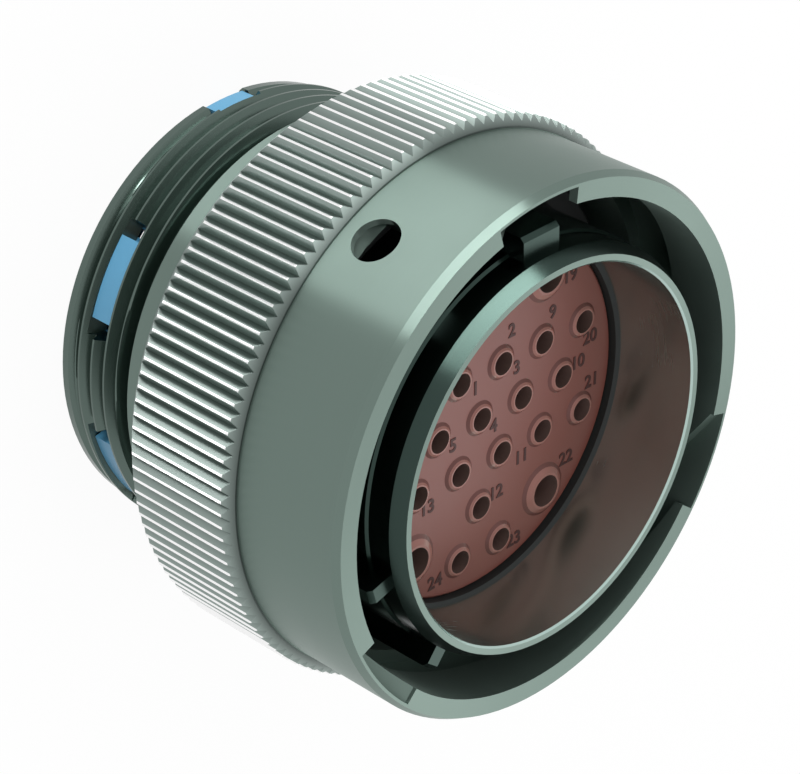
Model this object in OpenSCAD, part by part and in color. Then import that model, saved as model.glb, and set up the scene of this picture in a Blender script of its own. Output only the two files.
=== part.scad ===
// Bayonet circular connector, free plug, with its cavities filled by socket contacts.
// Millimetres. It stands on its rear end at z = 0 and +Z points out of the mating face.
// The origin is the middle of the rear end. +Y is the insert's own "up".

/* [Overall] */
// Rear end to the front lip of the barrel
overall_len = 36.2; // [35.6:0.1:38.4]
// Front face of the coupling ring behind the barrel lip
lip_stand = 0.9; // [0.4:0.1:1.4]
// How finely circles are drawn
facets = 96; // [48:12:144]

/* [Coupling ring] */
// Tips of the knurl above the smooth front band
knurl_rise = 1.15; // [0.85:0.05:1.85]
// Wall of the smooth band round the bore that the mating shell enters
ring_wall = 1.95; // [1.85:0.05:2.3]
// Height of the knurled band
knurl_len = 11.4; // [9:0.1:12]
// Number of teeth round the knurl
knurl_teeth = 132; // [66:6:144]
// Depth of each knurl groove
knurl_depth = 0.63; // [0.3:0.01:0.7]
// Rear end of the ring above the rear end of the body
ring_rear = 13.4; // [12.8:0.1:13.8]
// Radial depth of the inner web that turns on the neck
web_depth = 1.43; // [1.3:0.01:1.7]
// Width of the outer front chamfer along the axis
ring_chamfer = 0.65; // [0.3:0.05:0.9]

/* [Bayonet ramps] */
// Number of entry notches
ramp_count = 3; // [2:1:3]
// Angle of the first notch from +X
notch_at = 94.5; // [85:0.5:104]
// Angular width of a notch
notch_deg = 22; // [16:1:26]
// Turn from a notch to its detent
ramp_turn = 95.3; // [80:0.1:98]
// Metal left outside the ramp floor
ramp_wall = 0.6; // [0.5:0.05:1.1]
// Diameter of the hole that shows the locked pin
sight_hole_d = 3.9; // [2.4:0.1:4]
// Front face of the ring down to the middle of that hole
sight_hole_drop = 7.45; // [6.4:0.05:7.8]

/* [Body] */
// Rear bore to the crests of the rear thread
thread_wall = 2.25; // [2.2:0.05:2.6]
// Length of the threaded zone
thread_len = 6.1; // [5.6:0.1:6.3]
// Wall of the front barrel
barrel_wall = 1.25; // [1.15:0.05:1.4]
// Radial height of the barrel keys
key_h = 1.85; // [1:0.05:1.95]
// Width of the narrow keys
key_w = 1.3; // [0.8:0.1:2]
// Width of the main key
main_key_w = 3.8; // [2.6:0.1:4.4]
// Angle of the main key from +X
key_at = 91; // [85:1:97]

/* [Retainer windows] */
// Angular width of a window
window_deg = 30.3; // [25:0.1:34]
// Height of a window
window_h = 2.4; // [1.6:0.1:2.7]
// Lower edge of the windows
window_z = 2.95; // [2.9:0.05:3.3]
// Angular width of the lug in a window
lug_deg = 21.4; // [14:0.1:23]

/* [Insert] */
// Pitch of the hexagonal contact grid
pitch = 4.65; // [4.4:0.01:4.9]
// Middle of the outermost small cavity to the rim of the insert
insert_rim = 2.95; // [2.7:0.05:3.2]
// Hole for a small contact in the front face
small_hole_d = 1.94; // [1.3:0.02:2.1]
// Hole for a large contact in the front face
large_hole_d = 2.74; // [2:0.02:3]
// Front lip down to the insert face
face_recess = 8.2; // [6.4:0.1:9.4]

/* [Node] */
// Which sub-part to draw

/* [Hidden] */
$fn = facets;
eps = 0.01;
run = 0.07;
row = pitch * sqrt(3) / 2;

// radii, from the insert outwards
insert_r = round(100 * (norm([2.5 * pitch, row]) + insert_rim)) / 100;
main_bore_r = insert_r + 0.05;
step_bore_r = main_bore_r + 0.7;
disc_r = step_bore_r - 0.05;
rear_bore_r = step_bore_r + 0.7;
mouth_r = main_bore_r + 0.3;
retainer_r = rear_bore_r - 1.7;
barrel_r = mouth_r + barrel_wall;
thread_r = rear_bore_r + thread_wall;
relief_r = rear_bore_r + 1.2;
collar_r = relief_r + 0.7;
neck_r = thread_r + 0.02;
groove_r = neck_r - 0.97;
ring_bore_r = neck_r + web_depth;
flange_r = ring_bore_r - run;
band_r = ring_bore_r + ring_wall;
tooth_r = band_r + knurl_rise;
root_r = tooth_r - knurl_depth;

// ring levels
ring_front = overall_len - lip_stand;
web_rear = ring_rear + 0.9;
web_front = web_rear + 1.8;
knurl_top = ring_rear + knurl_len;

// spring levels
washer_t = 0.8;
spring_h = 2.4;
spring_t = 0.5;
washer_top = web_front + washer_t;
flange_rear = washer_top + spring_h;
flange_front = flange_rear + 2.6;
soft_in_r = neck_r + 0.12;
soft_out_r = ring_bore_r - 0.15;

// body levels
thread_z = 1.45;
thread_end = thread_z + thread_len;
relief_end = thread_end + 0.75;
step_z = overall_len - 3.3;
seal_t = 1.7;

// insert levels
face_z = overall_len - face_recess;
seal_rear = face_z - 2;
stop_z = 8;
plate_z = 12;
hard_rear = 12.8;
ledge_z = 14;
sleeve_rear = 0.5;
contact_front = face_z - 3.4;
contact_rear = stop_z + 0.2;

// cavities: the middle one, two rings of the hexagonal grid, then the outer ring
// with a large cavity at each corner; each entry is [x, y, large]
large_x = 1.59 * pitch;
large_y = 2.1 * pitch;
cavities = [
  [0, 0, false],
  [pitch / 2, row, false],
  [pitch, 0, false],
  [pitch / 2, -row, false],
  [-pitch / 2, -row, false],
  [-pitch, 0, false],
  [-pitch / 2, row, false],
  [0, 2 * row, false],
  [1.5 * pitch, row, false],
  [2 * pitch, 0, false],
  [1.5 * pitch, -row, false],
  [0, -2 * row, false],
  [-1.5 * pitch, -row, false],
  [-2 * pitch, 0, false],
  [-1.5 * pitch, row, false],
  [-large_x, large_y, true],
  [-pitch / 2, 3 * row, false],
  [pitch / 2, 3 * row, false],
  [large_x, large_y, true],
  [2.5 * pitch, row, false],
  [2.5 * pitch, -row, false],
  [large_x, -large_y, true],
  [pitch / 2, -3 * row, false],
  [-pitch / 2, -3 * row, false],
  [-large_x, -large_y, true],
  [-2.5 * pitch, -row, false],
  [-2.5 * pitch, row, false]
];

function contact_name(i) = str("contact_", i < 9 ? "0" : "", i + 1);

// ---- helpers ----

module tube(r_out, r_in, z0, z1) {
  difference() {
    translate([0, 0, z0]) cylinder(r = r_out, h = z1 - z0);
    translate([0, 0, z0 - 1]) cylinder(r = r_in, h = z1 - z0 + 2);
  }
}

// Part of a tube between two radii, centred on angle "at"
module sector(r_in, r_out, z0, z1, at, deg) {
  rotate([0, 0, at - deg / 2])
    rotate_extrude(angle = deg)
      translate([r_in, z0]) square([r_out - r_in, z1 - z0]);
}

// Holes of the contact grid, one radius for each size
module cavity_holes(small_r, large_r, z0, z1) {
  for (c = cavities)
    translate([c[0], c[1], z0])
      cylinder(r = c[2] ? large_r : small_r, h = z1 - z0, $fn = 32);
}

// ---- body ----

window_angles = [30, 150, 205, 335];
keyway_at = 92.5;
keyway_deg = 13;

module shell_profile() {
  polygon([
    [rear_bore_r, 0.3],
    [rear_bore_r + 0.3, 0],
    [collar_r - 0.35, 0],
    [collar_r, 0.35],
    [collar_r, 1],
    [relief_r + 0.2, thread_z - 0.1],
    [thread_r, thread_z + 0.5],
    [thread_r, thread_end - 0.4],
    [relief_r, thread_end],
    [relief_r, relief_end],
    [neck_r - 0.25, relief_end],
    [neck_r, relief_end + 0.25],
    [neck_r, web_rear - 1],
    [groove_r, web_rear - 1],
    [groove_r, web_rear],
    [neck_r, web_rear],
    [neck_r, flange_rear],
    [flange_r, flange_rear],
    [flange_r, flange_front - 0.3],
    [flange_r - 0.3, flange_front],
    [barrel_r + 0.2, flange_front],
    [barrel_r + 0.2, step_z - 0.2],
    [barrel_r, step_z],
    [barrel_r, overall_len - 1.2],
    [barrel_r - 0.6, overall_len],
    [mouth_r + 0.15, overall_len],
    [mouth_r, overall_len - 0.15],
    [mouth_r, face_z + 0.75],
    [main_bore_r, face_z + 0.5],
    [main_bore_r, ledge_z],
    [step_bore_r, ledge_z],
    [step_bore_r, stop_z],
    [rear_bore_r, stop_z]
  ]);
}

// A barrel key: a straight bar with a lead-in at its front end
module barrel_key(at, w) {
  key_rear = flange_front + seal_t + 0.3;
  key_front = overall_len - 1.9;
  lead = 0.35;
  rotate([0, 0, at])
    translate([0, w / 2, 0])
      rotate([90, 0, 0])
        linear_extrude(w)
          polygon([
            [barrel_r - 0.6, key_rear],
            [barrel_r + key_h, key_rear],
            [barrel_r + key_h, key_front - lead],
            [barrel_r + key_h - lead, key_front],
            [barrel_r - 0.6, key_front]
          ]);
}

module plug_shell() {
  color([0.70, 0.75, 0.73])
    difference() {
      union() {
        rotate_extrude() shell_profile();
        barrel_key(key_at, main_key_w);
        for (step = [105, 140, 215, 265])
          barrel_key(key_at + step, key_w);
      }
      for (at = window_angles)
        sector(rear_bore_r - 0.5, collar_r + 1, window_z, window_z + window_h, at, window_deg);
      sector(rear_bore_r - 0.5, collar_r + 1, -1, 2.5, keyway_at, keyway_deg);
    }
}

// ---- coupling ring ----

// Star-shaped outline of the knurl; the teeth are plain V ridges
module knurl_outline() {
  half = 180 / knurl_teeth;
  polygon([
    for (i = [0:2 * knurl_teeth - 1])
      let (r = i % 2 == 0 ? tooth_r : root_r)
        [r * cos(i * half), r * sin(i * half)]
  ]);
}

// Envelope of the knurled band, bevelled at both ends
module knurl_envelope() {
  rotate_extrude()
    polygon([
      [0, ring_rear],
      [root_r - 0.2, ring_rear],
      [tooth_r + eps, ring_rear + 1],
      [tooth_r + eps, knurl_top - 0.75],
      [root_r - 0.3, knurl_top],
      [0, knurl_top]
    ]);
}

// Levels of a ramp: its rear and front walls at the locked end, and its rear wall at the mouth
ramp_rear_end = ring_front - sight_hole_drop - 2.1;
ramp_front_end = ring_front - sight_hole_drop + 2.1;
ramp_rear_mouth = ring_front - 4.7;
ramp_front_mouth = ring_front - 0.95;
ramp_end = ramp_turn + 6.5;
ramp_r = band_r - ramp_wall;
notch_depth = 4.2;
notch_slant = 58;

// Everything above a tilted plane; on the ramp floor it stands at z_end at the locked end
// and climbs to z_mouth at the angle t_mouth from the middle of the notch
module above_plane(z_end, z_mouth, t_mouth) {
  rise = (z_mouth - z_end) / (1 - cos(t_mouth + ramp_end));
  rotate([0, 0, -ramp_end])
    translate([0, 0, z_end + rise])
      rotate([0, atan(rise / (ramp_r - 0.7)), 0])
        translate([-40, -40, 0]) cube([80, 80, 40]);
}

// Cutter for one ramp: the band between two tilted planes, and the notch it starts from,
// whose slanted side leads a pin down into the band
module ramp_cutter() {
  band_deg = ramp_end - 6;
  intersection() {
    tube(ramp_r, ring_bore_r - 0.6, ramp_rear_end - 1, ring_front + 2);
    union() {
      intersection() {
        sector(10, 30, ramp_rear_end - 1, ring_front - 0.4, -6 - band_deg / 2, band_deg);
        difference() {
          above_plane(ramp_rear_end, ramp_rear_mouth, -10);
          above_plane(ramp_front_end, ramp_front_mouth, -13);
        }
      }
      difference() {
        sector(10, 30, ring_front - notch_depth, ring_front + 1, 0, notch_deg);
        rotate([0, 0, notch_deg / 2])
          translate([0, 0.5, ring_front])
            rotate([-notch_slant, 0, 0])
              translate([0, 0, -20]) cube([40, 20, 20]);
      }
    }
  }
}

module coupling_ring() {
  color([0.66, 0.72, 0.70])
    difference() {
      union() {
        intersection() {
          translate([0, 0, ring_rear]) linear_extrude(knurl_len) knurl_outline();
          knurl_envelope();
        }
        rotate_extrude()
          polygon([
            [0, knurl_top - 1],
            [band_r, knurl_top - 1],
            [band_r, ring_front - ring_chamfer],
            [band_r - 0.36, ring_front],
            [0, ring_front]
          ]);
      }
      rotate_extrude()
        polygon([
          [0, ring_rear - 1],
          [ring_bore_r - 0.1, ring_rear - 1],
          [ring_bore_r - 0.1, web_rear],
          [neck_r + run, web_rear],
          [neck_r + run, web_front],
          [ring_bore_r, web_front],
          [ring_bore_r, ring_front + 1],
          [0, ring_front + 1]
        ]);
      for (i = [0:ramp_count - 1])
        rotate([0, 0, notch_at + i * 360 / ramp_count]) {
          ramp_cutter();
          rotate([0, 0, -ramp_turn])
            translate([ring_bore_r - 1, 0, ring_front - sight_hole_drop])
              rotate([0, 90, 0]) cylinder(d = sight_hole_d, h = 5, $fn = 48);
        }
    }
}

// ---- spring pack ----

// Split ring sprung into the neck groove behind the coupling ring
module snap_ring() {
  color([0.55, 0.56, 0.57])
    difference() {
      tube(ring_bore_r - 0.5, groove_r + 0.05, web_rear - 0.95, web_rear - eps);
      sector(groove_r - 1, ring_bore_r + 1, web_rear - 2, web_rear + 1, 270, 6);
    }
}

module thrust_washer() {
  color([0.72, 0.70, 0.62])
    tube(soft_out_r, soft_in_r, web_front, washer_top);
}

// Flat strip rolled into a ring with three waves
module wave_spring() {
  waves = 3;
  n = 72;
  amp = (spring_h - spring_t) / 2 - eps;
  mid = washer_top + spring_h / 2;
  function wave_z(a) = mid + amp * cos(a * waves);
  points = [
    for (i = [0:n - 1])
      let (a = 360 * i / n)
        for (q = [
          [soft_in_r, -spring_t / 2],
          [soft_out_r, -spring_t / 2],
          [soft_out_r, spring_t / 2],
          [soft_in_r, spring_t / 2]
        ])
          [q[0] * cos(a), q[0] * sin(a), wave_z(a) + q[1]]
  ];
  faces = [
    for (i = [0:n - 1])
      for (k = [0:3])
        let (
          j = (i + 1) % n,
          a = 4 * i + k,
          b = 4 * i + (k + 1) % 4,
          c = 4 * j + (k + 1) % 4,
          d = 4 * j + k
        )
          for (f = [[a, c, b], [a, d, c]]) f
  ];
  color([0.60, 0.60, 0.58])
    polyhedron(points = points, faces = faces, convexity = 6);
}

// ---- seals and insert ----

// Rubber ring that the rim of the mating shell presses on
module peripheral_seal() {
  color([0.12, 0.12, 0.12])
    rotate_extrude()
      polygon([
        [barrel_r + 0.25, flange_front],
        [ring_bore_r - 0.7, flange_front],
        [ring_bore_r - 0.7, flange_front + seal_t - 0.4],
        [ring_bore_r - 1.1, flange_front + seal_t],
        [barrel_r + 0.65, flange_front + seal_t],
        [barrel_r + 0.25, flange_front + seal_t - 0.4]
      ]);
}

// Soft face with a raised boss round each cavity
module interfacial_seal() {
  small_r = small_hole_d / 2;
  large_r = large_hole_d / 2;
  color([0.47, 0.28, 0.26])
    difference() {
      union() {
        rotate_extrude()
          polygon([
            [0, seal_rear],
            [insert_r, seal_rear],
            [insert_r, face_z - 0.25],
            [insert_r - 0.25, face_z],
            [0, face_z]
          ]);
        for (c = cavities)
          translate([c[0], c[1], face_z - 0.1])
            if (c[2])
              cylinder(r1 = large_r + 1.13, r2 = large_r + 0.2, h = 0.55, $fn = 48);
            else
              cylinder(r1 = small_r + 0.66, r2 = small_r + 0.12, h = 0.42, $fn = 48);
      }
      cavity_holes(small_r, large_r, seal_rear - 1, face_z + 2);
    }
}

// Hard dielectric that carries the sockets
module front_insulator() {
  color([0.78, 0.62, 0.40])
    difference() {
      union() {
        translate([0, 0, hard_rear]) cylinder(r = disc_r, h = ledge_z - hard_rear);
        translate([0, 0, hard_rear]) cylinder(r = insert_r, h = seal_rear - hard_rear);
      }
      cavity_holes(1.3, 1.85, hard_rear - 1, seal_rear + 1);
    }
}

// Thin disc between the two insulators; its holes grip the contact shoulders
module retention_plate() {
  color([0.20, 0.20, 0.22])
    difference() {
      translate([0, 0, plate_z]) cylinder(r = disc_r, h = hard_rear - plate_z);
      cavity_holes(1.3, 1.85, plate_z - 1, hard_rear + 1);
    }
}

module rear_insulator() {
  color([0.78, 0.62, 0.40])
    difference() {
      translate([0, 0, stop_z]) cylinder(r = disc_r, h = plate_z - stop_z);
      cavity_holes(1.6, 2.2, stop_z - 1, plate_z + 1);
    }
}

// Wire seal: each hole has three thin webs that close on the wire
module rear_grommet() {
  web_r = 0.35;
  color([0.50, 0.27, 0.22])
    difference() {
      union() {
        rotate_extrude()
          polygon([
            [0, 1.2],
            [retainer_r - 0.5, 1.2],
            [retainer_r - 0.1, 1.6],
            [retainer_r - 0.1, stop_z],
            [0, stop_z]
          ]);
        for (c = cavities)
          translate([c[0], c[1], 0.8])
            cylinder(r1 = c[2] ? 1.9 : 1.4, r2 = c[2] ? 2.3 : 1.8, h = 0.6, $fn = 32);
      }
      for (c = cavities)
        translate([c[0], c[1], 0])
          rotate_extrude($fn = 24) {
            wide = c[2] ? 1.5 : 1.05;
            tight = wide - web_r;
            polygon([
              [0, 0],
              [wide, 0],
              [wide, 1.6],
              [tight, 2.1],
              [wide, 2.6],
              [wide, 3.6],
              [tight, 4.1],
              [wide, 4.6],
              [wide, stop_z + 1],
              [0, stop_z + 1]
            ]);
          }
    }
}

// Sleeve behind the insert; its lugs snap into the windows of the body
module insert_retainer() {
  in_r = retainer_r;
  out_r = rear_bore_r - 0.05;
  lug_r = collar_r - 0.15;
  lug_gap = 0.12;
  slot_deg = 2.6;
  color([0.37, 0.65, 0.80])
    difference() {
      union() {
        tube(out_r, in_r, sleeve_rear, stop_z);
        for (at = window_angles)
          sector(out_r - 0.5, lug_r, window_z + 0.08, window_z + window_h - lug_gap, at, lug_deg);
        sector(out_r - 0.5, lug_r, sleeve_rear, 2.35, keyway_at, keyway_deg - 1);
      }
      for (at = window_angles)
        for (side = [-1, 1])
          sector(in_r - 1, out_r + 0.02, 1.6, 6.6, at + side * (lug_deg / 2 + slot_deg), slot_deg);
    }
}

// Turned socket: crimp barrel, shoulder and open front end
module socket_contact(large) {
  k = large ? 1.42 : 1;
  body_r = 1.22 * k;
  color([0.85, 0.68, 0.35])
    difference() {
      rotate_extrude($fn = 32)
        polygon([
          [0, contact_rear],
          [1.2 * k, contact_rear],
          [1.2 * k, contact_rear + 2.6],
          [1.5 * k, contact_rear + 2.8],
          [1.5 * k, plate_z - 0.1],
          [body_r, plate_z],
          [body_r, contact_front - 0.3],
          [body_r - 0.3, contact_front],
          [0, contact_front]
        ]);
      translate([0, 0, contact_front - 6.5])
        cylinder(r = 0.79 * k, h = 8, $fn = 32);
      translate([0, 0, contact_rear - 1])
        cylinder(r = 0.85 * k, h = 3.4, $fn = 32);
    }
}

module contact(i) {
  translate([cavities[i][0], cavities[i][1], 0])
    socket_contact(cavities[i][2]);
}

// ---- drawing ----

plug_shell();
coupling_ring();
snap_ring();
thrust_washer();
wave_spring();
peripheral_seal();
interfacial_seal();
front_insulator();
retention_plate();
rear_insulator();
rear_grommet();
insert_retainer();
for (i = [0:len(cavities) - 1])
  contact(i);
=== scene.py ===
# %% [markdown]
# # Round bayonet plug with 27 contacts
# The plug stands on its rear end, and its axis is Z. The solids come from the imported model,
# in metres, and keep their places. This script gives them their finishes, and makes again
# the pieces whose fine form matters most: the body with its cut thread, the soft face with
# its raised cavities, and the small cavity numbers.

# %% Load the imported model
import math

import bpy
import bmesh
from mathutils import Matrix, Vector


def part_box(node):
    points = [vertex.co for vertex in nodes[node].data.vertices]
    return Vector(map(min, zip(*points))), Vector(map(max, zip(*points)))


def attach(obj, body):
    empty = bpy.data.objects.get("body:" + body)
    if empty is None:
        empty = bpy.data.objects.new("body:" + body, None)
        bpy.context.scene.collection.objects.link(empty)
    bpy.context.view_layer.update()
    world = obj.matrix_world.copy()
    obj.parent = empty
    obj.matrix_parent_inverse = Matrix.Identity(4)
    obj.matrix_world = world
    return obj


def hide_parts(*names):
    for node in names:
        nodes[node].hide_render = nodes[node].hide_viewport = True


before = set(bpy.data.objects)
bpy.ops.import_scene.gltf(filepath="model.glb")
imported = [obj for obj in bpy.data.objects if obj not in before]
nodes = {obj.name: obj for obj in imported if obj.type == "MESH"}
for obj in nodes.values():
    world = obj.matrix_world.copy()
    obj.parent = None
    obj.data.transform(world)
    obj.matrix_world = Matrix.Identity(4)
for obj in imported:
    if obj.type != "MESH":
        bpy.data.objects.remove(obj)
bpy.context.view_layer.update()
MM = 0.001
print("nodes", len(nodes))

# %% [markdown]
# ## Sizes shared by several cells
# Levels are measured from the solids, so the looks follow the model if a size changes.
# The cavities sit on a hexagonal grid, with one large cavity at each corner of the outer
# ring. The list is in the order of their numbers.

# %% Levels and the cavity grid
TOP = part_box("plug_shell")[1].z
FACE = TOP - 8.2 * MM
PITCH = 4.65
ROW = PITCH * math.sqrt(3) / 2
LX, LY = 1.59 * PITCH, 2.1 * PITCH
CAVITIES = [
    (0, 0, 0), (0.5 * PITCH, ROW, 0), (PITCH, 0, 0), (0.5 * PITCH, -ROW, 0),
    (-0.5 * PITCH, -ROW, 0), (-PITCH, 0, 0), (-0.5 * PITCH, ROW, 0), (0, 2 * ROW, 0),
    (1.5 * PITCH, ROW, 0), (2 * PITCH, 0, 0), (1.5 * PITCH, -ROW, 0), (0, -2 * ROW, 0),
    (-1.5 * PITCH, -ROW, 0), (-2 * PITCH, 0, 0), (-1.5 * PITCH, ROW, 0), (-LX, LY, 1),
    (-0.5 * PITCH, 3 * ROW, 0), (0.5 * PITCH, 3 * ROW, 0), (LX, LY, 1),
    (2.5 * PITCH, ROW, 0), (2.5 * PITCH, -ROW, 0), (LX, -LY, 1), (0.5 * PITCH, -3 * ROW, 0),
    (-0.5 * PITCH, -3 * ROW, 0), (-LX, -LY, 1), (-2.5 * PITCH, -ROW, 0),
    (-2.5 * PITCH, ROW, 0),
]
print("top", round(TOP / MM, 2), "mm, cavities", len(CAVITIES))

# %% [markdown]
# ## Small helpers for node trees
# A finish is a chain of nodes. `add` makes a node and sets its inputs by name, and `link`
# joins two sockets. Effects that several finishes share are node groups, made once.

# %% Node helpers
def add(tree, kind, inputs=None, **settings):
    node = tree.nodes.new(kind)
    for key, value in settings.items():
        setattr(node, key, value)
    for key, value in (inputs or {}).items():
        if isinstance(value, bpy.types.NodeSocket):
            tree.links.new(value, node.inputs[key])
        else:
            node.inputs[key].default_value = value
    return node


def link(tree, source, target):
    tree.links.new(source, target)


def math_node(tree, operation, a, b=None):
    node = tree.nodes.new("ShaderNodeMath")
    node.operation = operation
    for i, value in enumerate((a, b)):
        if value is None:
            continue
        if isinstance(value, bpy.types.NodeSocket):
            tree.links.new(value, node.inputs[i])
        else:
            node.inputs[i].default_value = value
    return node.outputs[0]


def new_group(name, inputs, outputs):
    group = bpy.data.node_groups.new(name, "ShaderNodeTree")
    for label, kind, value in inputs:
        socket = group.interface.new_socket(name=label, in_out="INPUT", socket_type=kind)
        if value is not None:
            socket.default_value = value
    for label, kind in outputs:
        group.interface.new_socket(name=label, in_out="OUTPUT", socket_type=kind)
    start = group.nodes.new("NodeGroupInput")
    end = group.nodes.new("NodeGroupOutput")
    return group, start.outputs, end.inputs


FLOAT, VECTOR = "NodeSocketFloat", "NodeSocketVector"

# %% [markdown]
# ## Turned metal
# The metal pieces are turned on a lathe and plated. Turning leaves very fine rings round
# the axis, so the pattern here depends on the radius and the height, and hardly on the
# angle. The group gives a height for the bump, a roughness and a slow change of tone.

# %% Group: turned rings
def make_turned_group():
    group, given, result = new_group(
        "turned_rings",
        [("Place", VECTOR, None), ("Lines per m", FLOAT, 9000.0), ("Tone spread", FLOAT, 0.06),
         ("Base roughness", FLOAT, 0.25), ("Roughness spread", FLOAT, 0.06)],
        [("Height", FLOAT), ("Tone", FLOAT), ("Roughness", FLOAT)],
    )
    parts = add(group, "ShaderNodeSeparateXYZ", {"Vector": given["Place"]}).outputs
    x2 = math_node(group, "MULTIPLY", parts["X"], parts["X"])
    y2 = math_node(group, "MULTIPLY", parts["Y"], parts["Y"])
    radius = math_node(group, "SQRT", math_node(group, "ADD", x2, y2))
    angle = math_node(group, "ARCTAN2", parts["Y"], parts["X"])
    lines = add(group, "ShaderNodeCombineXYZ", {
        "X": math_node(group, "MULTIPLY", radius, given["Lines per m"]),
        "Y": math_node(group, "MULTIPLY", parts["Z"], given["Lines per m"]),
        "Z": math_node(group, "MULTIPLY", angle, 3.0)})
    fine = add(group, "ShaderNodeTexNoise", {
        "Vector": lines.outputs["Vector"], "Scale": 1.0, "Detail": 3.0, "Roughness": 0.6})
    slow = add(group, "ShaderNodeTexNoise", {
        "Vector": given["Place"], "Scale": 160.0, "Detail": 3.0, "Roughness": 0.55})
    link(group, fine.outputs["Fac"], result["Height"])
    drift = math_node(group, "SUBTRACT", slow.outputs["Fac"], 0.5)
    grit = math_node(group, "SUBTRACT", fine.outputs["Fac"], 0.5)
    both = math_node(group, "ADD", drift, math_node(group, "MULTIPLY", grit, 0.5))
    link(group, math_node(
        group, "ADD", math_node(group, "MULTIPLY", both, given["Tone spread"]), 1.0),
        result["Tone"])
    link(group, math_node(
        group, "ADD", math_node(group, "MULTIPLY", both, given["Roughness spread"]),
        given["Base roughness"]), result["Roughness"])
    return group


TURNED = make_turned_group()
print("group", TURNED.name)

# %% [markdown]
# ## Moulded skin
# Rubber and plastic mouldings have a faint pebble and a slow drift of tone. One group gives
# both from the object's own coordinates.

# %% Group: moulded skin
def make_skin_group():
    group, given, result = new_group(
        "moulded_skin",
        [("Place", VECTOR, None), ("Grain per m", FLOAT, 4000.0), ("Tone spread", FLOAT, 0.12),
         ("Base roughness", FLOAT, 0.5), ("Roughness spread", FLOAT, 0.1)],
        [("Height", FLOAT), ("Tone", FLOAT), ("Roughness", FLOAT)],
    )
    grain = add(group, "ShaderNodeTexNoise", {
        "Vector": given["Place"], "Scale": given["Grain per m"], "Detail": 2.0})
    slow = add(group, "ShaderNodeTexNoise", {
        "Vector": given["Place"], "Scale": 220.0, "Detail": 4.0, "Roughness": 0.6})
    drift = math_node(group, "SUBTRACT", slow.outputs["Fac"], 0.5)
    link(group, grain.outputs["Fac"], result["Height"])
    link(group, math_node(
        group, "ADD", math_node(group, "MULTIPLY", drift, given["Tone spread"]), 1.0),
        result["Tone"])
    link(group, math_node(
        group, "ADD", math_node(group, "MULTIPLY", drift, given["Roughness spread"]),
        given["Base roughness"]), result["Roughness"])
    return group


SKIN = make_skin_group()
print("group", SKIN.name)

# %% [markdown]
# ## Finishes
# A metal takes its colour from the Base Color of a metallic Principled shader. The turning
# marks run round the axis, so they spread the light along it: that is what the anisotropy
# and the radial tangent are for. Mouldings are plain dielectrics with a skin. On the knurl,
# painted shade darkens the grooves and a painted highlight whitens the crests, by the distance
# from the axis. Some finishes below are lighter and darker copies of one metal or one rubber,
# which paint light and shade on parts of a piece.

# %% Finishes from the two groups
def new_material(name):
    material = bpy.data.materials.new(name)
    material.use_nodes = True
    tree = material.node_tree
    tree.nodes.clear()
    shader = tree.nodes.new("ShaderNodeBsdfPrincipled")
    out = tree.nodes.new("ShaderNodeOutputMaterial")
    link(tree, shader.outputs["BSDF"], out.inputs["Surface"])
    place = tree.nodes.new("ShaderNodeTexCoord").outputs["Object"]
    return material, tree, shader, place


def tinted(tree, colour, tone):
    mix = add(tree, "ShaderNodeMix", {}, data_type="RGBA", blend_type="MULTIPLY")
    mix.inputs["Factor"].default_value = 1.0
    mix.inputs[6].default_value = (*colour, 1.0)
    grey = add(tree, "ShaderNodeCombineColor", {"Red": tone, "Green": tone, "Blue": tone})
    link(tree, grey.outputs["Color"], mix.inputs[7])
    return mix.outputs[2]


def knurl_shade_and_highlight(tree, place, smooth, crest):
    spot = add(tree, "ShaderNodeSeparateXYZ", {"Vector": place}).outputs
    flat = add(tree, "ShaderNodeCombineXYZ", {"X": spot["X"], "Y": spot["Y"]})
    size = add(tree, "ShaderNodeVectorMath", {"Vector": flat.outputs[0]}, operation="LENGTH")
    rise = add(tree, "ShaderNodeMapRange", {
        "Value": size.outputs["Value"], "From Min": KNURL_ROOT, "From Max": KNURL_CREST})
    # Painted shade: the grooves run down to a quarter of the crest colour.
    painted_valley_shade = tuple(0.25 * value for value in crest)
    shaded_teeth = mixed(tree, rise.outputs["Result"], (*painted_valley_shade, 1.0), (*crest, 1.0))
    # Painted highlight: the outer part of each tooth's rise is painted white.
    edge = math_node(tree, "GREATER_THAN", rise.outputs["Result"], CREST_HIGHLIGHT_SHARE)
    shaded_teeth = mixed(tree, edge, shaded_teeth, (1.0, 1.0, 1.0, 1.0))
    return mixed(tree, math_node(
        tree, "GREATER_THAN", size.outputs["Value"], KNURL_ROOT), (*smooth, 1.0), shaded_teeth)


def mixed(tree, mask, low, high):
    mix = add(tree, "ShaderNodeMix", {}, data_type="RGBA")
    link(tree, mask, mix.inputs["Factor"])
    for socket, value in ((mix.inputs[6], low), (mix.inputs[7], high)):
        if isinstance(value, tuple):
            socket.default_value = value
        else:
            link(tree, value, socket)
    return mix.outputs[2]


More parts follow.
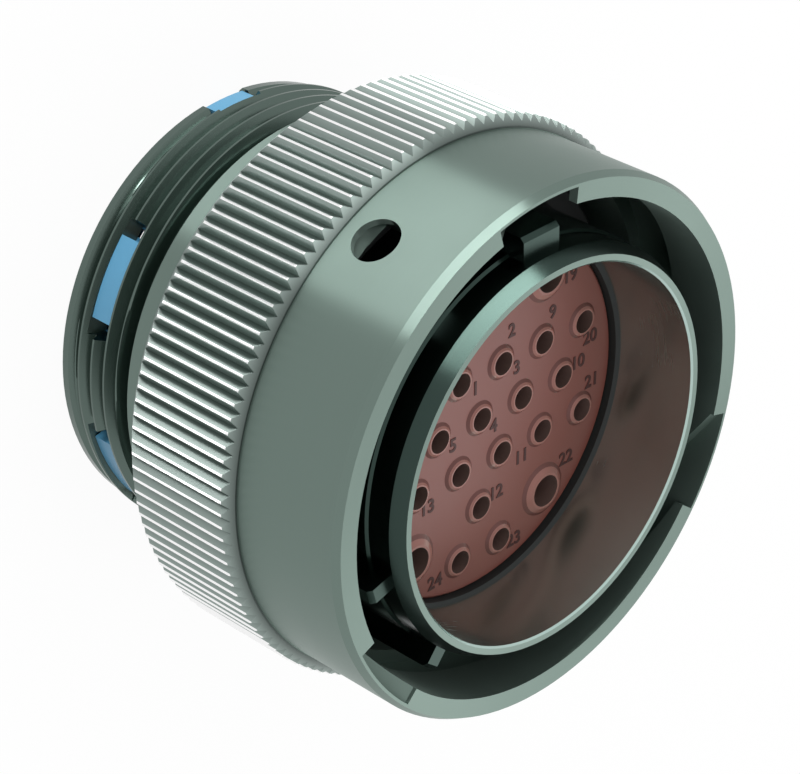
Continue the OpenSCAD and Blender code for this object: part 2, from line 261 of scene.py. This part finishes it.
def metal(name, colour, roughness, anisotropy, lines=9000.0, depth=0.000004, tone=0.08,
          knurl=None):
    material, tree, shader, place = new_material(name)
    marks = add(tree, "ShaderNodeGroup", {}, node_tree=TURNED)
    link(tree, place, marks.inputs["Place"])
    marks.inputs["Lines per m"].default_value = lines
    marks.inputs["Tone spread"].default_value = tone
    marks.inputs["Base roughness"].default_value = roughness
    marks.inputs["Roughness spread"].default_value = 0.08
    paint = tinted(tree, colour, marks.outputs["Tone"])
    if knurl:
        link(tree, knurl_shade_and_highlight(tree, place, colour, knurl),
             paint.node.inputs[6])
    link(tree, paint, shader.inputs["Base Color"])
    link(tree, marks.outputs["Roughness"], shader.inputs["Roughness"])
    bump = add(tree, "ShaderNodeBump", {"Strength": 0.25, "Distance": depth})
    link(tree, marks.outputs["Height"], bump.inputs["Height"])
    link(tree, bump.outputs["Normal"], shader.inputs["Normal"])
    shader.inputs["Metallic"].default_value = 1.0
    shader.inputs["Anisotropic"].default_value = anisotropy
    shader.inputs["Anisotropic Rotation"].default_value = 0.25
    if anisotropy:
        round_axis = add(tree, "ShaderNodeTangent", {}, direction_type="RADIAL", axis="Z")
        link(tree, round_axis.outputs["Tangent"], shader.inputs["Tangent"])
    return material


def moulding(name, colour, roughness, grain=4000.0, depth=0.00001, tone=0.12, level=0.5):
    material, tree, shader, place = new_material(name)
    skin = add(tree, "ShaderNodeGroup", {}, node_tree=SKIN)
    link(tree, place, skin.inputs["Place"])
    skin.inputs["Grain per m"].default_value = grain
    skin.inputs["Tone spread"].default_value = tone
    skin.inputs["Base roughness"].default_value = roughness
    link(tree, tinted(tree, colour, skin.outputs["Tone"]), shader.inputs["Base Color"])
    link(tree, skin.outputs["Roughness"], shader.inputs["Roughness"])
    bump = add(tree, "ShaderNodeBump", {"Strength": 0.3, "Distance": depth})
    link(tree, skin.outputs["Height"], bump.inputs["Height"])
    link(tree, bump.outputs["Normal"], shader.inputs["Normal"])
    shader.inputs["Specular IOR Level"].default_value = level
    return material


# The knurl's painted shade and highlight are set by the radius: root, crest, and the share of
# the rise that is painted white.
KNURL_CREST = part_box("coupling_ring")[1].y
KNURL_DEPTH, CREST_HIGHLIGHT_SHARE = 1.1 * MM, 0.88
KNURL_ROOT = KNURL_CREST - KNURL_DEPTH
# The ring's finish carries the painted shade and highlight of the knurl.
RING_METAL_KNURL_PAINTED = metal("ring_nickel_knurl_painted", (0.16, 0.215, 0.19), 0.34, 1.0, knurl=(0.32, 0.385, 0.36))
SHELL_METAL = metal("body_nickel", (0.16, 0.215, 0.19), 0.34, 1.0)
# Painted shade: a near-black copy of the body metal for the barrel in front of the seal,
# inside the ring's recess.
SHADED_BARREL_METAL = metal("barrel_nickel_painted_shade", (0.035, 0.055, 0.048), 0.22, 0.5)
# Painted shade: a darker copy of the body metal for the cut thread, which dims its highlight.
SHADED_THREAD_METAL = metal("thread_nickel_painted_shade", (0.10, 0.135, 0.12), 0.22, 0.3, depth=0.0000005)
# Painted light: a lighter copy of the body metal for the bore, which lifts it out of its
# shade.
LIT_BORE_METAL = metal("bore_nickel_painted_light", (0.42, 0.54, 0.50), 0.26, 0.0)
SPRING_STEEL = metal("spring_steel", (0.45, 0.46, 0.46), 0.3, 0.5)
CONTACT_GOLD = metal("contact_gold", (0.70, 0.47, 0.17), 0.25, 0.0)
# The black seal rubber also covers the metal shelf round the soft face and the walls below it,
# as painted shade.
SEAL_RUBBER = moulding("seal_rubber", (0.012, 0.014, 0.014), 0.6)
FACE_SILICONE = moulding("face_rubber", (0.215, 0.062, 0.048), 0.42, tone=0.10)
# Painted highlight: a lighter copy of the face rubber for the lips of the bosses.
LIT_LIP_SILICONE = moulding("lip_rubber_painted_highlight", (0.33, 0.13, 0.105), 0.35, tone=0.10)
# Painted shade: a darker copy of the face rubber for the slopes of the bosses.
SHADED_SLOPE_SILICONE = moulding("slope_rubber_painted_shade", (0.145, 0.043, 0.035), 0.45, tone=0.10)
# Painted shade: a greyer copy of the face rubber for the hole walls, standing for the shaded
# inside of the holes.
SHADED_HOLE_SILICONE = moulding("hole_rubber_painted_shade", (0.15, 0.09, 0.078), 0.5, tone=0.10)
GROMMET_SILICONE = moulding("grommet_silicone", (0.17, 0.055, 0.04), 0.5)
INSULATOR = moulding("insulator_plastic", (0.55, 0.33, 0.12), 0.45)
CLIP_PLASTIC = moulding("clip_plastic", (0.03, 0.03, 0.034), 0.45)
RETAINER = moulding("retainer_plastic", (0.06, 0.21, 0.34), 0.38)
NUMBER_INK = moulding("number_ink", (0.060, 0.016, 0.014), 0.6)
print("materials", len(bpy.data.materials))

# %% [markdown]
# ## Finishes on the solids
# Each solid keeps its shape and takes a finish by name. The contacts all share one.

# %% Dress the solids
def dress(name, material):
    slots = nodes[name].data.materials
    slots.clear()
    slots.append(material)


DRESS = {
    "plug_shell": SHELL_METAL, "coupling_ring": RING_METAL_KNURL_PAINTED, "snap_ring": SPRING_STEEL,
    "thrust_washer": INSULATOR, "wave_spring": SPRING_STEEL,
    "peripheral_seal": SEAL_RUBBER, "interfacial_seal": FACE_SILICONE,
    "front_insulator": INSULATOR, "retention_plate": CLIP_PLASTIC,
    "rear_insulator": INSULATOR, "rear_grommet": GROMMET_SILICONE,
    "insert_retainer": RETAINER,
}
for node_name in nodes:
    dress(node_name, DRESS.get(node_name, CONTACT_GOLD))
print("dressed", len(nodes))

# %% [markdown]
# ## The cut thread
# The rear of the body carries a right-hand thread, 1.5 mm pitch, for a clamp behind the
# plug. The solid has it as a plain cylinder. Here a grid is wrapped round the axis and
# climbs one pitch a turn, so its rows follow the helix and the crests stay crisp. The
# flanks are straight at 60 degrees, and two cones trim the ends.

# %% Geometry Nodes: a helical thread
def make_thread_tree(material):
    tree = bpy.data.node_groups.new("helical_thread", "GeometryNodeTree")
    for label, value in (("Major radius", 18.95 * MM), ("Depth", 0.92 * MM),
                         ("Pitch", 1.5 * MM), ("Start", 1.35 * MM), ("End", 7.55 * MM)):
        socket = tree.interface.new_socket(
            name=label, in_out="INPUT", socket_type="NodeSocketFloat")
        socket.default_value = value
    tree.interface.new_socket(
        name="Geometry", in_out="OUTPUT", socket_type="NodeSocketGeometry")
    given = tree.nodes.new("NodeGroupInput").outputs
    result = tree.nodes.new("NodeGroupOutput").inputs
    turns, rows = 6, 16
    grid = add(tree, "GeometryNodeMeshGrid", {
        "Size X": 1.0, "Size Y": float(turns),
        "Vertices X": 361, "Vertices Y": turns * rows + 1})
    spot = add(tree, "ShaderNodeSeparateXYZ", {
        "Vector": tree.nodes.new("GeometryNodeInputPosition").outputs[0]}).outputs
    turn = math_node(tree, "ADD", spot["X"], 0.5)
    step = math_node(tree, "ADD", spot["Y"], turns / 2)
    angle = math_node(tree, "MULTIPLY", turn, 2 * math.pi)
    climb = math_node(tree, "MULTIPLY", math_node(tree, "ADD", step, turn), given["Pitch"])
    below = math_node(tree, "SUBTRACT", given["Start"],
                      math_node(tree, "MULTIPLY", given["Pitch"], 1.1))
    height = math_node(tree, "ADD", climb, below)
    part = math_node(tree, "FRACT", math_node(tree, "ADD", step, 0.0001))
    off = math_node(tree, "ABSOLUTE", math_node(tree, "SUBTRACT", part, 0.5))
    fall = add(tree, "ShaderNodeMapRange", {
        "Value": off, "From Min": 0.0625, "From Max": 0.4375, "To Min": 0.0, "To Max": 1.0})
    drop = math_node(tree, "MULTIPLY", fall.outputs["Result"], given["Depth"])
    radius = math_node(tree, "SUBTRACT", given["Major radius"], drop)
    lead = math_node(tree, "ADD", math_node(
        tree, "MULTIPLY", math_node(tree, "SUBTRACT", height, given["Start"]), 1.42),
        math_node(tree, "SUBTRACT", given["Major radius"], 0.85 * MM))
    tail = math_node(tree, "ADD", math_node(
        tree, "MULTIPLY", math_node(tree, "SUBTRACT", given["End"], height), 2.62),
        math_node(tree, "SUBTRACT", given["Major radius"], 1.05 * MM))
    radius = math_node(tree, "MINIMUM", radius, math_node(tree, "MINIMUM", lead, tail))
    place = add(tree, "ShaderNodeCombineXYZ", {
        "X": math_node(tree, "MULTIPLY", radius, math_node(tree, "COSINE", angle)),
        "Y": math_node(tree, "MULTIPLY", radius, math_node(tree, "SINE", angle)),
        "Z": height})
    moved = add(tree, "GeometryNodeSetPosition", {
        "Geometry": grid.outputs["Mesh"], "Position": place.outputs["Vector"]})
    merged = add(tree, "GeometryNodeMergeByDistance", {
        "Geometry": moved.outputs["Geometry"], "Distance": 0.000002})
    real = add(tree, "GeometryNodeRealizeInstances", {"Geometry": merged.outputs["Geometry"]})
    finish = add(tree, "GeometryNodeSetMaterial", {
        "Geometry": real.outputs["Geometry"], "Material": material})
    link(tree, finish.outputs["Geometry"], result["Geometry"])
    return tree


def from_nodes(name, tree, **inputs):
    holder = bpy.data.objects.new(name + "_maker", bpy.data.meshes.new(name + "_blank"))
    bpy.context.scene.collection.objects.link(holder)
    modifier = holder.modifiers.new("maker", "NODES")
    modifier.node_group = tree
    ids = {i.name: i.identifier for i in tree.interface.items_tree if i.in_out == "INPUT"}
    for label, value in inputs.items():
        modifier[ids[label.replace("_", " ")]] = value
    graph = bpy.context.evaluated_depsgraph_get()
    mesh = bpy.data.meshes.new_from_object(holder.evaluated_get(graph))
    mesh.name = name
    bpy.data.objects.remove(holder)
    return mesh


thread_mesh = from_nodes("thread", make_thread_tree(SHELL_METAL))
print("thread grid faces", len(thread_mesh.polygons))

# %% [markdown]
# ## The body
# The body is a copy of the solid without the plain thread zone, with the cut thread in its
# place. Four windows pass through the thread, where the retainer's lugs show. Planes cut
# the thread along the windows' edges, the faces inside are deleted, and the edges left are
# pushed inwards to make the windows' walls.

# %% Cut windows in the thread and join it to the body
WINDOWS = (30, 150, 205, 335)
WINDOW_HALF = 15.15
WIN_LOW, WIN_HIGH = 2.95 * MM, 5.35 * MM
KEYWAY, KEYWAY_HALF, KEYWAY_TOP = 92.5, 6.5, 2.5 * MM
THREAD_LOW, THREAD_HIGH = 1.35 * MM, 7.55 * MM
INNER = 16.72 * MM


def turn_of(point):
    return math.degrees(math.atan2(point.y, point.x)) % 360


def apart(a, b):
    return abs((a - b + 180) % 360 - 180)


def slice_mesh(bm, point, normal, **ends):
    geometry = bm.verts[:] + bm.edges[:] + bm.faces[:]
    bmesh.ops.bisect_plane(
        bm, geom=geometry, dist=0.0000005, plane_co=point, plane_no=normal, **ends)


def cut_thread(mesh):
    bm = bmesh.new()
    bm.from_mesh(mesh)
    slice_mesh(bm, (0, 0, THREAD_LOW), (0, 0, 1), clear_inner=True)
    slice_mesh(bm, (0, 0, THREAD_HIGH), (0, 0, 1), clear_outer=True)
    for level in (WIN_LOW, WIN_HIGH, KEYWAY_TOP):
        slice_mesh(bm, (0, 0, level), (0, 0, 1))
    edges = [at + side * WINDOW_HALF for at in WINDOWS for side in (-1, 1)]
    edges += [KEYWAY - KEYWAY_HALF, KEYWAY + KEYWAY_HALF]
    for angle in edges:
        a = math.radians(angle)
        slice_mesh(bm, (0, 0, 0), (-math.sin(a), math.cos(a), 0))
    gone = []
    for face in bm.faces:
        centre = face.calc_center_median()
        angle = turn_of(centre)
        in_window = WIN_LOW < centre.z < WIN_HIGH and any(
            apart(angle, at) < WINDOW_HALF for at in WINDOWS)
        in_keyway = centre.z < KEYWAY_TOP and apart(angle, KEYWAY) < KEYWAY_HALF
        if in_window or in_keyway:
            gone.append(face)
    bmesh.ops.delete(bm, geom=gone, context="FACES")
    rim = [e for e in bm.edges if e.is_boundary]
    rim = [e for e in rim if not all(abs(v.co.z - THREAD_HIGH) < 1e-6 for v in e.verts)]
    rim = [e for e in rim if not all(abs(v.co.z - THREAD_LOW) < 1e-6 for v in e.verts)]
    new = bmesh.ops.extrude_edge_only(bm, edges=rim)["geom"]
    for vert in (g for g in new if isinstance(g, bmesh.types.BMVert)):
        scale = INNER / math.hypot(vert.co.x, vert.co.y)
        vert.co.x *= scale
        vert.co.y *= scale
    bmesh.ops.recalc_face_normals(bm, faces=bm.faces)
    return bm


def body_without_thread(node):
    bm = bmesh.new()
    bm.from_mesh(nodes[node].data)
    bmesh.ops.remove_doubles(bm, verts=bm.verts, dist=0.000001)
    gone = []
    for face in bm.faces:
        radii = [math.hypot(v.co.x, v.co.y) for v in face.verts]
        low = min(v.co.z for v in face.verts)
        high = max(v.co.z for v in face.verts)
        if low > THREAD_LOW - 1e-5 and high < THREAD_HIGH + 1e-5 and max(radii) > 17.8 * MM:
            flat_end = high - low < 1e-6 and low > THREAD_HIGH - 1e-5
            if not flat_end:
                gone.append(face)
    bmesh.ops.delete(bm, geom=gone, context="FACES")
    return bm


def merged_object(name, parts, materials, sharp=20):
    bm = bmesh.new()
    for part in parts:
        spare = bpy.data.meshes.new("spare")
        part.to_mesh(spare)
        part.free()
        bm.from_mesh(spare)
        bpy.data.meshes.remove(spare)
    mesh = bpy.data.meshes.new(name)
    bm.to_mesh(mesh)
    bm.free()
    for stale in ("custom_normal", "sharp_edge", "sharp_face"):
        if stale in mesh.attributes:
            mesh.attributes.remove(mesh.attributes[stale])
    mesh.materials.clear()
    for material in materials:
        mesh.materials.append(material)
    thing = bpy.data.objects.new(name, mesh)
    bpy.context.scene.collection.objects.link(thing)
    mesh.shade_smooth()
    mesh.set_sharp_from_angle(angle=math.radians(sharp))
    return thing


SEAL_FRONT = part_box("peripheral_seal")[1].z
# The third index marks the shelf and inner walls that take black rubber as painted shade.
SHADED_THREAD, LIT_BORE, SHADE_GAP, SHADED_BARREL = 1, 2, 3, 4
BORE_OUTER = 15.7 * MM
BORE_LOW = FACE + 0.9 * MM
LIP_OUTER = 16.6 * MM
THREAD_TOP, THREAD_ROOT = 7.6 * MM, 17.9 * MM
FORWARD = 0.9


def paint_body(thing):
    for face in thing.data.polygons:
        c, n = face.center, face.normal
        radius = math.hypot(c.x, c.y)
        inward = c.x * n.x + c.y * n.y < 0
        # Inside the bore: the lighter copy of the metal above the shelf is painted light; the
        # shelf and the walls below it take black rubber as painted shade.
        if inward and radius < BORE_OUTER:
            face.material_index = LIT_BORE if c.z > BORE_LOW else SHADE_GAP
        # The barrel in front of the seal takes the near-black copy of the metal, as painted
        # shade.
        elif c.z > SEAL_FRONT and (radius > LIP_OUTER or n.z < FORWARD):
            face.material_index = SHADED_BARREL
        # The cut thread takes the darker copy of the metal, as painted shade.
        elif c.z < THREAD_TOP and radius > THREAD_ROOT:
            face.material_index = SHADED_THREAD


body = merged_object(
    "body_with_thread", [body_without_thread("plug_shell"), cut_thread(thread_mesh)],
    [SHELL_METAL, SHADED_THREAD_METAL, LIT_BORE_METAL, SEAL_RUBBER, SHADED_BARREL_METAL])
paint_body(body)
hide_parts("plug_shell")
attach(body, "shell")
print("body faces", len(body.data.polygons))

# %% [markdown]
# ## The soft face
# Each cavity opens in a raised boss. A copy of the solid is cut at two levels through the
# bosses, so the lip takes a painted highlight, and the slope and the wall of each hole take
# painted shade, as lighter and darker copies of the rubber. The form stays that of the solid.

# %% Bosses with a lip, a slope and a hole
LIT_LIP, SHADED_SLOPE, SHADED_HOLE = 1, 2, 3
SLOPE_LEVEL, LIP_LEVEL = 0.10 * MM, 0.19 * MM
FACE_EDGE = 14.85 * MM


def soft_face():
    bm = bmesh.new()
    bm.from_mesh(nodes["interfacial_seal"].data)
    bmesh.ops.remove_doubles(bm, verts=bm.verts, dist=0.000001)
    for level in (SLOPE_LEVEL, LIP_LEVEL):
        bmesh.ops.bisect_plane(
            bm, geom=list(bm.verts) + list(bm.edges) + list(bm.faces), dist=0.0000001,
            plane_co=(0.0, 0.0, FACE + level), plane_no=(0.0, 0.0, 1.0))
    return bm


def paint_soft_face(thing):
    for face in thing.data.polygons:
        c, n = face.center, face.normal
        if math.hypot(c.x, c.y) > FACE_EDGE:
            continue
        # Hole walls: painted shade.
        if abs(n.z) < 0.1:
            face.material_index = SHADED_HOLE
        # Lips: painted highlight.
        elif c.z > FACE + LIP_LEVEL:
            face.material_index = LIT_LIP
        # Slopes: painted shade.
        elif n.z < FORWARD and c.z > FACE:
            face.material_index = SHADED_SLOPE


seal = merged_object(
    "soft_face", [soft_face()],
    [FACE_SILICONE, LIT_LIP_SILICONE, SHADED_SLOPE_SILICONE, SHADED_HOLE_SILICONE])
paint_soft_face(seal)
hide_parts("interfacial_seal")
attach(seal, "shell")
print("soft face", len(seal.data.polygons))

# %% [markdown]
# ## Cavity numbers
# Each cavity has its number moulded beside it. Text objects are made into meshes, moved to
# their places, and joined into one thin piece on the soft face.

# %% Numbers on the soft face
OFFSETS = {
    1: (-0.5, 2.8), 2: (1.2, 2.3), 3: (-0.5, 2.8), 4: (-0.7, 2.6), 5: (-0.6, 2.8),
    6: (-0.6, 2.7), 7: (-0.6, 2.7), 8: (-0.6, 2.6), 9: (1.2, 2.1), 10: (2.0, 0.35),
    11: (-2.1, -1.6), 12: (2.0, 0.35), 13: (1.25, -1.6), 14: (1.2, 2.1), 15: (1.2, 2.0),
    16: (-2.4, 1.6), 17: (-2.2, 0.4), 18: (2.2, 0.4), 19: (2.7, -1.15), 20: (1.05, -1.9),
    21: (1.4, 2.0), 22: (2.8, 1.7), 23: (1.85, -1.0), 24: (-2.55, -0.8), 25: (-2.4, -1.9),
    26: (-1.3, -2.0), 27: (-1.0, 2.0),
}
NUMBER_HEIGHT = 1.15 * MM


def number_mesh(text, x, y, z):
    curve = bpy.data.curves.new("number", "FONT")
    curve.body = text
    curve.size = NUMBER_HEIGHT / 0.7
    curve.align_x = "CENTER"
    curve.align_y = "CENTER"
    curve.extrude = 0.03 * MM
    curve.offset = 0.035 * MM
    curve.resolution_u = 4
    holder = bpy.data.objects.new("number", curve)
    bpy.context.scene.collection.objects.link(holder)
    graph = bpy.context.evaluated_depsgraph_get()
    mesh = bpy.data.meshes.new_from_object(holder.evaluated_get(graph))
    bpy.data.objects.remove(holder)
    mesh.transform(Matrix.Translation((x, y, z)))
    return mesh


def make_numbers():
    bm = bmesh.new()
    for i, (x, y, _) in enumerate(CAVITIES):
        dx, dy = OFFSETS[i + 1]
        mesh = number_mesh(str(i + 1), (x + dx) * MM, (y + dy) * MM, FACE + 0.02 * MM)
        bm.from_mesh(mesh)
        bpy.data.meshes.remove(mesh)
    mesh = bpy.data.meshes.new("cavity_numbers")
    bmesh.ops.remove_doubles(bm, verts=bm.verts, dist=0.0000005)
    bm.to_mesh(mesh)
    bm.free()
    mesh.materials.clear()
    mesh.materials.append(NUMBER_INK)
    thing = bpy.data.objects.new("cavity_numbers", mesh)
    bpy.context.scene.collection.objects.link(thing)
    return thing


numbers = make_numbers()
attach(numbers, "shell")
print("number faces", len(numbers.data.polygons))

# %% [markdown]
# ## Floor and background
# The floor is pale and plain. For what is seen directly, mirrored or seen through glass it
# is lifted towards white, and it keeps the shadow of the plug. The world does the same, and
# lights everything else with a plain white of less than full strength.

# %% Floor and world
FLOOR_LIFT = 0.94


def background_rays(tree, rays):
    bounced = math_node(tree, "MAXIMUM", rays["Is Glossy Ray"], rays["Is Transmission Ray"])
    return math_node(tree, "MAXIMUM", rays["Is Camera Ray"], bounced)


def make_floor():
    bm = bmesh.new()
    bmesh.ops.create_grid(bm, x_segments=4, y_segments=4, size=3.0)
    mesh = bpy.data.meshes.new("floor")
    bm.to_mesh(mesh)
    bm.free()
    thing = bpy.data.objects.new("floor", mesh)
    thing.location.z = -0.00002
    bpy.context.scene.collection.objects.link(thing)
    material = bpy.data.materials.new("pale_floor")
    material.use_nodes = True
    tree = material.node_tree
    tree.nodes.clear()
    out = tree.nodes.new("ShaderNodeOutputMaterial")
    glow = add(tree, "ShaderNodeEmission", {"Color": (1.0, 1.0, 1.0, 1.0), "Strength": 1.0})
    rays = tree.nodes.new("ShaderNodeLightPath").outputs
    matt = add(tree, "ShaderNodeBsdfDiffuse", {"Color": (0.90, 0.90, 0.90, 1.0)})
    mix = add(tree, "ShaderNodeMixShader", {
        0: math_node(tree, "MULTIPLY", background_rays(tree, rays), FLOOR_LIFT)})
    link(tree, matt.outputs[0], mix.inputs[1])
    link(tree, glow.outputs[0], mix.inputs[2])
    link(tree, mix.outputs[0], out.inputs["Surface"])
    mesh.materials.append(material)
    return thing


floor = make_floor()

world = bpy.data.worlds.new("pale_room")
bpy.context.scene.world = world
world.use_nodes = True
wt = world.node_tree
wt.nodes.clear()
w_out = wt.nodes.new("ShaderNodeOutputWorld")
white = add(wt, "ShaderNodeBackground", {"Color": (1.0, 1.0, 1.0, 1.0), "Strength": 1.0})
room = add(wt, "ShaderNodeBackground", {"Color": (1.0, 1.0, 1.0, 1.0), "Strength": 0.8})
path = wt.nodes.new("ShaderNodeLightPath").outputs
w_mix = add(wt, "ShaderNodeMixShader", {0: background_rays(wt, path)})
link(wt, room.outputs[0], w_mix.inputs[1])
link(wt, white.outputs[0], w_mix.inputs[2])
link(wt, w_mix.outputs[0], w_out.inputs["Surface"])
print("floor and world ready")

# %% [markdown]
# ## Lamps
# Two softboxes of low power. The wide one stands low at the side of the wide key and draws a
# soft band along the ring. The other is weaker and stands in front, higher up.

# %% Softboxes
def softbox(name, azimuth, elevation, distance, width, height, power):
    lamp = bpy.data.lights.new(name, "AREA")
    lamp.shape = "RECTANGLE"
    lamp.size = width
    lamp.size_y = height
    lamp.energy = power
    thing = bpy.data.objects.new(name, lamp)
    a, e = math.radians(azimuth), math.radians(elevation)
    where = Vector((math.cos(a) * math.cos(e), math.sin(a) * math.cos(e), math.sin(e)))
    target = Vector((0, 0, 0.02))
    thing.location = target + where * distance
    thing.rotation_euler = (-where).to_track_quat("-Z", "Y").to_euler()
    bpy.context.scene.collection.objects.link(thing)
    return thing


softbox("key_side", 94.6, 8, 0.45, 0.55, 0.14, 3.0)
softbox("top_soft", -40, 42, 0.60, 0.50, 0.40, 0.7)

# %% [markdown]
# ## Camera
# A long lens looks down on the mating face from the side, rolled so that the axis runs down
# to the right. The position and the three directions are plain numbers.

# %% Camera
camera_data = bpy.data.cameras.new("camera")
camera_data.lens = 135.852
camera_data.sensor_width = 36.0
camera_data.clip_start = 0.01
camera_data.clip_end = 20.0
camera = bpy.data.objects.new("camera", camera_data)
bpy.context.scene.collection.objects.link(camera)
right = Vector((0.70573, -0.00286, 0.70848)).normalized()
forward = Vector((0.61018, -0.50572, -0.60986)).normalized()
up = right.cross(forward).normalized()
turn = Matrix((right, up, -forward)).transposed().to_4x4()
camera.matrix_world = Matrix.Translation(Vector((-145.531, 119.845, 164.808)) * MM) @ turn
bpy.context.scene.camera = camera
bpy.context.scene.view_settings.view_transform = "Standard"
print("camera at", [round(v, 3) for v in camera.location])
